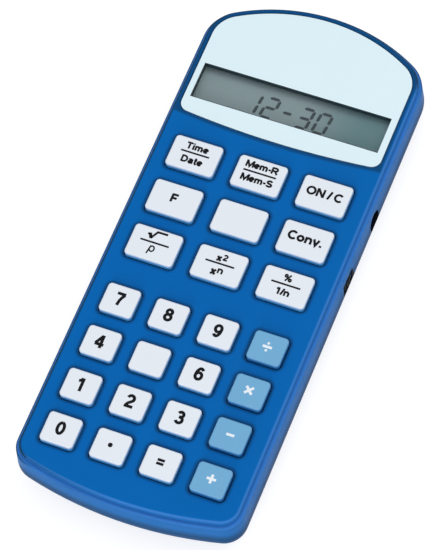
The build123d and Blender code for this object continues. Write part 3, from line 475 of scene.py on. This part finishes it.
# Display window: a clear plastic lens with a faint smoky tint, seated in the bezel just below the
# face. Its gloss wavers a little, as on a moulded lens.
lens_glossiest, lens_dullest = 0.04, 0.14
lens_finish, tree, shader = new_material("clear window plastic")
shader.inputs["Base Color"].default_value = (0.3, 0.35, 0.35, 1)
shader.inputs["Alpha"].default_value = 0.05
patches = grain_marks(tree, patch=90.0)["Patch"]
lens_gloss = ramp(tree, patches, 0, 1, lens_glossiest, lens_dullest)
tree.links.new(lens_gloss, shader.inputs["Roughness"])
dress(lens_finish, "display_window")

# Liquid crystal panel: two glasses with a grey-green reflector behind, whose tint turns darker and greener
# to the right. Under the upper edge it is darker and bluish, a painted shadow of the window's upper wall.
glass_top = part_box("lcd_panel")[1]
left_tint, right_tint, painted_shadow_tint = (0.24, 0.322, 0.335), (0.11, 0.222, 0.24), (0.06, 0.09, 0.12)
turn_starts, turn_ends = 2 * mm, 23.5 * mm
upper_starts, upper_full, upper_share = glass_top.y - 4.2 * mm, glass_top.y - 1.2 * mm, 0.45
mottle = 0.12
glass_finish, tree, shader = new_material("liquid crystal glass")
shader.inputs["Roughness"].default_value = 0.35
shader.inputs["Specular IOR Level"].default_value = 0.2
x, y, z = axes_of(tree, "Object")
to_right = ramp(tree, x, turn_starts, turn_ends, smooth=True)
# Painted shadow under the window's upper wall.
shadow_under_upper_edge = ramp(tree, y, upper_starts, upper_full, 0, upper_share, smooth=True)
tint = blend(tree, shadow_under_upper_edge, blend(tree, to_right, left_tint, right_tint), painted_shadow_tint)
patches = grain_marks(tree, patch=25.0)["Patch"]
tint = blend(tree, mottle, tint, patches, way="SOFT_LIGHT")
tree.links.new(tint, shader.inputs["Base Color"])
dress(glass_finish, "lcd_panel")

# Display figures: the reading's seven-bar figures are thin films between the glasses, which darken
# when they are switched on. They are drawn just over the glass.
bar_ink = moulded("darkened segments", (0.034, 0.05, 0.06), roughness=0.5, specular=0.1, depth=0.001)
figure_size = np.array((3.5, 6.8)) * mm
bar_width = 0.98 * mm
lean = 0.12
bar_end_shares = {
    "top": ((-1, 1), (1, 1)),
    "upper right": ((1, 0), (1, 1)),
    "lower right": ((1, -1), (1, 0)),
    "bottom": ((-1, -1), (1, -1)),
    "lower left": ((-1, -1), (-1, 0)),
    "upper left": ((-1, 0), (-1, 1)),
    "middle": ((-1, 0), (1, 0)),
}
lit_bars = {
    "0": ("top", "upper right", "lower right", "bottom", "lower left", "upper left"),
    "1": ("upper right", "lower right"),
    "2": ("top", "upper right", "bottom", "lower left", "middle"),
    "3": ("top", "upper right", "lower right", "bottom", "middle"),
    "-": ("middle",),
}
figure_places = (("1", -11.9), ("2", -6.35), ("-", -0.85), ("3", 4.65), ("0", 10.2))
dash_width_share = 0.9
reading_y = 49.5 * mm
film_height = glass_top.z + 0.012 * mm


def bar_figure(sign):
    """A figure's lit bars: each is a hexagon with its points at the ends of the bar's line.

    The line runs from start to end, cut short a little at both. The hexagon's other corners lie
    half a width in from the points and half a width to each side. Then x grows by y times lean.
    """
    cut_share = 0.3
    half = bar_width / 2
    ends = np.array([bar_end_shares[bar] for bar in lit_bars[sign]]) * figure_size / 2
    along = ends[:, 1] - ends[:, 0]
    along = along / np.linalg.norm(along, axis=1)[:, None] * half
    beside = np.stack((-along[:, 1], along[:, 0]), 1)
    start, end = ends[:, 0] + along * cut_share, ends[:, 1] - along * cut_share
    corners = (
        start, start + along + beside, end - along + beside,
        end, end - along - beside, start + along - beside,
    )
    points = np.stack(corners, 1).reshape(-1, 2)
    points[:, 0] += points[:, 1] * lean
    return points, np.arange(len(points)).reshape(-1, len(corners))[:, ::-1]


def joined(shapes):
    """One shape of several: their points stacked, and their faces' numbers moved on to match."""
    starts = np.cumsum([0] + [len(points) for points, faces in shapes[:-1]])
    faces = np.vstack([faces + start for (points, faces), start in zip(shapes, starts)])
    return np.vstack([points for points, faces in shapes]), faces


placed_figures = []
for sign, sign_x in figure_places:
    points, faces = bar_figure(sign)
    width_share = dash_width_share if sign == "-" else 1
    points = points * (width_share, 1) + (sign_x * mm, reading_y)
    placed_figures.append((np.c_[points, np.full(len(points), film_height)], faces))
figures = add_piece("display_figures", *joined(placed_figures), bar_ink)
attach(figures, "case")

# Keys: hollow moulded caps on the rubber mat, pale for the figures and functions, light blue for the
# operators, with a smooth satin face that fingers have polished in the middle. The foot of their sides is
# darkened by painted shade, tinted blue as by light thrown up from the blue face.
cap_surface = {"roughness": 0.4, "specular": 0.35, "grain": 4200.0, "depth": 0.006, "patch": 110.0}
key_pale = moulded("pale key plastic", (0.805, 0.855, 0.915), tone=0.015, **cap_surface)
key_blue = moulded("light blue key plastic", (0.155, 0.41, 0.66), tone=0.03, **cap_surface)
cap_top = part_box("key_0")[1].z
cap_foot = face_height + 0.5 * mm
operator_keys = ("key_add", "key_subtract", "key_multiply", "key_divide")
other_keys = [
    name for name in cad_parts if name.startswith("key_") and name not in (*operator_keys, "key_mat")
]


def foot_shade_group():
    """Painted shade at a cap's foot: Colour turns to Foot Colour as the height falls from High to Low."""
    inputs = {
        "Vector": "Vector", "Colour": "Color", "Foot Colour": "Color", "High": "Float", "Low": "Float"
    }
    group, enter, leave = new_group("painted foot shade", inputs, {"Result": "Color"})
    split = group.nodes.new("ShaderNodeSeparateXYZ")
    group.links.new(enter["Vector"], split.inputs[0])
    fall = ramp(group, split.outputs["Z"], enter["High"], enter["Low"])
    group.links.new(blend(group, fall, enter["Colour"], enter["Foot Colour"]), leave["Result"])
    return group


painted_cap_foot_shade = foot_shade_group()
# Painted shade at the caps' feet, in dark blue-tinted colours.
for material, foot_colour in ((key_pale, (0.05, 0.32, 0.7)), (key_blue, (0.012, 0.15, 0.45))):
    tree = material.node_tree
    base = tree.nodes["Principled BSDF"].inputs["Base Color"]
    place = tree.nodes.new("ShaderNodeTexCoord")
    foot = tree.nodes.new("ShaderNodeGroup")
    foot.node_tree = painted_cap_foot_shade
    foot.inputs["Foot Colour"].default_value = (*foot_colour, 1)
    foot.inputs["High"].default_value = cap_top
    foot.inputs["Low"].default_value = cap_foot
    tree.links.new(place.outputs["Object"], foot.inputs["Vector"])
    tree.links.new(base.links[0].from_socket, foot.inputs["Colour"])
    tree.links.new(foot.outputs["Result"], base)
dress(key_blue, *operator_keys)
dress(key_pale, *other_keys)

# Figures on the number keys: black ink printed on the pale caps, in bold upright figures, each
# drawn with strokes of one width. Paths and places are in mm.
ink_black = moulded("black key ink", (0.003, 0.003, 0.005), roughness=0.55, specular=0.12, depth=0.002)
ink_depth = 0.03 * mm
ink_sunk = 0.005 * mm
crossing_lift = 0.002 * mm


def stroke(path, width):
    """An inked line: a path, offset to both sides by half its width, and given depth.

    At a point the offset is along the mean normal n of the two runs that meet there. It grows by
    1 / (n . normal of the run before), up to 2.5 times, so that the line keeps its width.
    """
    most_growth = 2.5
    path = np.array(path, float) * mm
    runs = np.diff(path, axis=0)
    runs /= np.linalg.norm(runs, axis=1)[:, None]
    along = np.vstack((runs[:1], runs[:-1] + runs[1:], runs[-1:]))
    along /= np.linalg.norm(along, axis=1)[:, None]
    normals = np.stack((-along[:, 1], along[:, 0]), 1)
    run_normals = np.stack((-runs[:-1, 1], runs[:-1, 0]), 1)
    growth = np.ones((len(path), 1))
    growth[1:-1, 0] = 1 / np.maximum((normals[1:-1] * run_normals).sum(1), 1 / most_growth)
    sides = normals * growth * width * mm / 2
    ring = np.vstack((path + sides, (path - sides)[::-1]))
    count = len(ring)
    points = np.vstack([np.c_[ring, np.full(count, z)] for z in (-ink_depth / 2, ink_depth / 2)])
    place = np.arange(len(path) - 1)
    under = np.stack((place, place + 1, count - 2 - place, count - 1 - place), 1)
    place = np.arange(count)
    following = (place + 1) % count
    walls = np.stack((place, place + count, following + count, following), 1)
    return points, np.vstack((under, under[:, ::-1] + count, walls))


def arc(x, y, wide, tall, start, stop, steps=20):
    """Points of an ellipse about (x, y) with half axes wide and tall, turned from start to stop."""
    turned = np.radians(np.linspace(start, stop, steps))
    return np.c_[x + wide * np.cos(turned), y + tall * np.sin(turned)]


def drawn(*strokes):
    """Joins strokes of one sign; each lies a hair above the last, so that none share a plane."""
    return joined([
        (points + (0, 0, layer * crossing_lift), faces) for layer, (points, faces) in enumerate(strokes)
    ])


def legend(key, parts, ink):
    """Joins inked parts at their places (mm from the cap's middle) into one piece on the key."""
    low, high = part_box(key)
    middle = ((low.x + high.x) / 2, (low.y + high.y) / 2, high.z + ink_depth / 2 - ink_sunk)
    points, faces = joined([
        (points + np.array((*place, 0)) * mm, faces) for (points, faces), place in parts
    ])
    piece = add_piece(f"legend_{key[4:]}", points + middle, faces, ink)
    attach(piece, f"body_{key}")


digit_stroke = 0.92
digit_stretch = (0.95, 1.05)
digit_y, usual_x, left_x = 0.3, -0.1, -0.22
left_digits = "014"
digit_paths = {
    "0": [arc(0, 0, 0.98, 1.6, 90, 450, 40)],
    "1": [[(-0.98, 0.98), (-0.5, 1.12), (-0.1, 1.42), (0.12, 1.9)], [(0.36, -1.98), (0.36, 1.98)]],
    "2": [
        np.vstack((arc(-0.02, 0.72, 0.98, 0.9, 168, -38), [(-0.5, -0.75), (-0.92, -1.5)])),
        [(-1.36, -1.61), (1.36, -1.61)],
    ],
    "3": [
        np.vstack((arc(-0.05, 0.86, 0.84, 0.75, 160, -90), [(-0.4, 0.11)])),
        np.vstack(([(-0.4, 0.14)], arc(-0.05, -0.74, 0.99, 0.88, 90, -160))),
    ],
    "4": [[(0.42, 1.86), (-1.22, -0.72)], [(-1.42, -0.86), (1.42, -0.86)], [(0.52, -1.98), (0.52, 1.98)]],
    "6": [arc(0.02, -0.62, 0.98, 1.0, 90, 450, 32), arc(0.16, -0.4, 1.12, 2.02, 190, 48)],
    "7": [[(-1.36, 1.6), (1.34, 1.6)], [(1.12, 1.42), (0.5, 0.62), (0.02, -0.5), (-0.22, -1.98)]],
    "8": [arc(0, 0.86, 0.82, 0.74, 90, 450, 32), arc(0, -0.75, 0.99, 0.87, 90, 450, 32)],
}
digit_paths["9"] = [-path for path in digit_paths["6"]]
for digit, paths in digit_paths.items():
    figure = drawn(*(stroke(np.array(path) * digit_stretch, digit_stroke) for path in paths))
    digit_x = left_x if digit in left_digits else usual_x
    legend(f"key_{digit}", [(figure, (digit_x, digit_y))], ink_black)
point_dot = stroke(arc(0, 0, 0.35, 0.35, 0, 360), width=0.7)
legend("key_point", [(point_dot, (-0.2, 0.25))], ink_black)
equals_bar = stroke([(-1.08, 0), (1.08, 0)], width=0.8)
legend("key_equals", [(equals_bar, (-0.1, 0.78)), (equals_bar, (-0.1, -0.36))], ink_black)

# Signs on the operator keys: white ink printed on the light blue caps, as bold as the figures and
# drawn in the same way.
ink_white = moulded("white key ink", (0.85, 0.9, 0.96), roughness=0.5, specular=0.2, depth=0.002)
sign_stroke = 0.78
bar_half, cross_half, minus_half = 1.4, 1.1, 1.2
sign_bar = stroke([(-bar_half, 0), (bar_half, 0)], sign_stroke)
sign_post = stroke([(0, -bar_half), (0, bar_half)], sign_stroke)
sign_minus = stroke([(-minus_half, 0), (minus_half, 0)], sign_stroke)
sign_cross = [
    stroke([(-cross_half, -side * cross_half), (cross_half, side * cross_half)], sign_stroke)
    for side in (1, -1)
]
sign_dot = stroke(arc(0, 0, 0.2, 0.2, 0, 360, 16), width=0.4)
legend("key_add", [(drawn(sign_bar, sign_post), (0, 0.25))], ink_white)
legend("key_subtract", [(sign_minus, (0, 0.1))], ink_white)
legend("key_multiply", [(drawn(*sign_cross), (-0.1, 0.3))], ink_white)
divide_parts = [(sign_bar, (-0.2, 0.3)), (sign_dot, (-0.2, 1.45)), (sign_dot, (-0.2, -0.85))]
legend("key_divide", divide_parts, ink_white)

# Words and signs on the function keys: black ink, in bold small letters. Most keys carry one over
# another, with a bar between them, a little above the cap's middle. A letter is its width, then its
# strokes, as shares of a capital's height.
capital_stem = [(0.12, 0), (0.12, 1)]
small_stem = [(0.12, 0), (0.12, 0.73)]
letter_shares = {
    " ": (0.3, []),
    "T": (0.85, [[(0.02, 0.9), (0.8, 0.9)], [(0.41, 0), (0.41, 0.9)]]),
    "i": (0.36, [[(0.15, 0), (0.15, 0.73)], [(0.15, 0.82), (0.15, 1.0)]]),
    "m": (1.15, [
        small_stem,
        np.vstack((arc(0.33, 0.42, 0.21, 0.21, 180, 0, 12), [(0.54, 0)])),
        np.vstack((arc(0.75, 0.42, 0.21, 0.21, 180, 0, 12), [(0.96, 0)])),
    ]),
    "e": (0.78, [[(0.12, 0.36), (0.64, 0.36)], arc(0.37, 0.365, 0.27, 0.27, 0, 318)]),
    "D": (0.98, [
        capital_stem,
        np.vstack(([(0.12, 0.9)], arc(0.4, 0.5, 0.4, 0.4, 90, -90), [(0.12, 0.1)])),
    ]),
    "a": (0.78, [
        np.vstack((arc(0.34, 0.48, 0.23, 0.155, 165, 0, 12), [(0.57, 0)])),
        np.vstack(([(0.57, 0.37)], arc(0.3, 0.23, 0.18, 0.14, 90, 270, 12), [(0.57, 0.12)])),
    ]),
    "t": (0.46, [
        np.vstack(([(0.2, 0.95)], arc(0.34, 0.22, 0.14, 0.13, 180, 270, 8), [(0.44, 0.09)])),
        [(0.02, 0.64), (0.42, 0.64)],
    ]),
    "M": (1.16, [
        capital_stem,
        [(1.02, 0), (1.02, 1)],
        [(0.14, 0.95), (0.57, 0.1), (1.0, 0.95)],
    ]),
    "R": (1.0, [
        capital_stem,
        np.vstack(([(0.12, 0.9)], arc(0.54, 0.68, 0.26, 0.22, 90, -90), [(0.12, 0.46)])),
        [(0.5, 0.45), (0.86, 0)],
    ]),
    "S": (0.93, [
        np.vstack((arc(0.43, 0.71, 0.3, 0.2, 20, 255), arc(0.43, 0.29, 0.33, 0.2, 75, -165))),
    ]),
    "-": (0.45, [[(0.05, 0.37), (0.38, 0.37)]]),
    "O": (1.1, [arc(0.52, 0.5, 0.42, 0.41, 90, 450, 30)]),
    "N": (1.0, [capital_stem, [(0.82, 0), (0.82, 1)], [(0.14, 0.96), (0.8, 0.04)]]),
    "/": (0.42, [[(0.04, 0), (0.34, 1)]]),
    "C": (0.98, [arc(0.5, 0.5, 0.41, 0.41, 42, 318)]),
    "o": (0.84, [arc(0.38, 0.365, 0.28, 0.27, 90, 450, 26)]),
    "n": (0.84, [small_stem, np.vstack((arc(0.38, 0.4, 0.26, 0.23, 180, 0, 12), [(0.64, 0)]))]),
    "v": (0.74, [[(0.06, 0.73), (0.34, 0.06), (0.62, 0.73)]]),
    ".": (0.34, [[(0.14, 0), (0.14, 0.2)]]),
    "F": (0.85, [capital_stem, [(0.12, 0.9), (0.72, 0.9)], [(0.12, 0.48), (0.64, 0.48)]]),
    "p": (0.78, [[(0.02, -0.3), (0.2, 0.73)], arc(0.4, 0.38, 0.26, 0.32, 90, 450, 26)]),
    "x": (0.7, [[(0.05, 0), (0.6, 0.73)], [(0.05, 0.73), (0.6, 0)]]),
    "%": (1.1, [
        arc(0.22, 0.76, 0.15, 0.18, 90, 450),
        arc(0.84, 0.24, 0.15, 0.18, 90, 450),
        [(0.22, 0), (0.84, 1)],
    ]),
}
digit_height, digit_middle, digit_advance = 3.96, (0.36, 0.5), 0.78
for digit in "12":
    shares = [np.array(path) / digit_height + digit_middle for path in digit_paths[digit]]
    letter_shares[digit] = (digit_advance, shares)


def word(text, capital, weight=0.265):
    """Letters side by side, each moved on by the widths before it, as tall as capital, centred."""
    strokes, pen = [], 0.0
    for sign in text:
        width, paths = letter_shares[sign]
        strokes += [stroke((np.array(path) + (pen, 0)) * capital, weight * capital) for path in paths]
        pen += width
    points, faces = drawn(*strokes)
    middle = (points.min(0) + points.max(0)) / 2
    return points - (middle[0], middle[1], 0), faces


word_capital = 2.25
upper_row, lower_row = 2.7, -1.85
bar_stroke, bar_place = 0.56, (0, 0.6)
long_bar, fraction_bar = (stroke([(-half, 0), (half, 0)], bar_stroke) for half in (5.1, 4.45))
root_sign = [
    stroke([(-3.0, 2.85), (-2.35, 3.2)], width=0.55),
    stroke([(-2.4, 3.3), (-1.65, 1.75)], width=0.95),
    stroke([(-1.75, 1.65), (-0.35, 4.15), (2.8, 4.2)], width=0.68),
]
function_parts = {
    "key_time": [
        (word("Time", word_capital), (0.1, upper_row)),
        (word("Date", word_capital), (0, lower_row)),
        (fraction_bar, bar_place),
    ],
    "key_memory": [
        (word("Mem-R", word_capital), (0, upper_row)),
        (word("Mem-S", word_capital), (0, lower_row)),
        (long_bar, bar_place),
    ],
    "key_on_clear": [(word("ON / C", capital=2.75, weight=0.25), (-0.05, 0.5))],
    "key_function": [(word("F", capital=2.8), (-0.2, 0.55))],
    "key_convert": [(word("Conv.", capital=2.88, weight=0.258), (-0.1, 0.4))],
    "key_root": [
        *((part, (0, 0)) for part in root_sign),
        (word("p", capital=2.75, weight=0.165), (-0.25, lower_row)),
        (fraction_bar, bar_place),
    ],
    "key_power": [
        (word("x", capital=2.1, weight=0.32), (-0.8, 2.1)),
        (word("2", capital=1.95, weight=0.26), (0.95, 2.85)),
        (word("x", capital=2.3, weight=0.32), (-0.9, -2.4)),
        (word("n", capital=2.2, weight=0.26), (1.0, -1.65)),
        (fraction_bar, bar_place),
    ],
    "key_percent": [
        (word("%", capital=2.2, weight=0.24), (-0.1, 2.8)),
        (word("1/n", capital=2.2, weight=0.28), (0, lower_row)),
        (fraction_bar, bar_place),
    ],
}
for key, parts in function_parts.items():
    legend(key, parts, ink_black)

# Side controls: a ribbed volume wheel behind its slot and the earphone socket beyond it, all in
# black moulded plastic. The socket and the wheel's control are soldered to the board, and a screw
# holds the wheel.
control_finish = moulded("black control plastic", (0.005, 0.006, 0.009), roughness=0.55, specular=0.06)
dress(control_finish, "volume_wheel", "volume_pot", "earphone_jack")

# Circuit board: glass fibre sheet under green lacquer, screwed to bosses of the top cover. It
# carries two moulded chips, and a crystal and capacitors in drawn metal cans.
board_finish = moulded(
    "green board lacquer", (0.02, 0.14, 0.05), roughness=0.3,
    grain=1500.0, depth=0.01, patch=300.0, tone=0.2, coat=0.3,
)
dress(board_finish, "circuit_board")
chip_finish = moulded("black chip epoxy", (0.015, 0.015, 0.016), roughness=0.55, grain=6000.0, depth=0.01)
dress(chip_finish, "speech_chip", "controller_chip")


def metal(name, colour, roughness):
    """Plated metal: the moulded material's marks, over a fully metallic shader."""
    material = moulded(name, colour, roughness, grain=2500.0, depth=0.004, tone=0.05)
    material.node_tree.nodes["Principled BSDF"].inputs["Metallic"].default_value = 1.0
    return material


dress(metal("drawn can metal", (0.66, 0.66, 0.68), roughness=0.25), "crystal", "capacitors")

# Key mat: one sheet of grey silicone rubber on the board, with a sprung dome under each key.
mat_finish = moulded("grey silicone rubber", (0.42, 0.43, 0.44), roughness=0.6, specular=0.3, grain=2500.0)
dress(mat_finish, "key_mat")

# Ribbon and display holder: a brown film ribbon is bonded to the glass and the board. The glass
# rests in a black moulded holder, which is screwed to bosses of the top cover.
ribbon_finish = moulded(
    "brown film ribbon", (0.4, 0.22, 0.07), roughness=0.3, grain=900.0, patch=700.0, tone=0.15
)
dress(ribbon_finish, "lcd_ribbon")
dress(lining_finish, "lcd_holder")

# Screws: zinc-plated steel with a cross recess. The case screws sit in deep wells underneath, and
# the rest hold the board, the display holder, the speaker and the wheel.
screw_finish = metal("zinc-plated steel", (0.56, 0.56, 0.58), roughness=0.32)
dress(
    screw_finish, "case_screws", "board_screws", "holder_screws", "speaker_screws", "wheel_screw"
)

# Speaker: a plated steel basket and magnet, a dark film cone that shows through the grille, a foam
# gasket and a plastic clamp ring. Two wires in red sleeves go up to the board.
dress(metal("plated basket steel", (0.5, 0.49, 0.47), roughness=0.35), "speaker_frame", "speaker_magnet")
cone_finish = moulded("dark cone film", (0.02, 0.02, 0.022), roughness=0.35, grain=1800.0, depth=0.02)
dress(cone_finish, "speaker_cone")
gasket_finish = moulded("black foam", (0.02, 0.02, 0.02), roughness=0.9, grain=2200.0, depth=0.08)
dress(gasket_finish, "speaker_gasket")
dress(lining_finish, "speaker_clamp")
dress(moulded("red wire sleeve", (0.42, 0.02, 0.02), roughness=0.35), "speaker_wires")

# Battery bay: two cells in plain printed sleeves lie side by side between nickel-plated contacts,
# which are pressed from spring sheet and slid into slots of the rear cover.
contact_finish = metal("nickel-plated spring", (0.66, 0.63, 0.56), roughness=0.24)
dress(contact_finish, "contact_positive", "contact_negative", "contact_link")
cell_finish = moulded("grey cell sleeve", (0.06, 0.065, 0.07), roughness=0.25, specular=0.5, tone=0.03)
dress(cell_finish, "battery_1", "battery_2")

# Feet: black rubber discs, moulded and bonded into shallow pockets under the rear cover.
foot_finish = moulded(
    "black foot rubber", (0.02, 0.02, 0.021), roughness=0.75, specular=0.25, grain=2600.0, depth=0.03
)
dress(foot_finish, "feet")
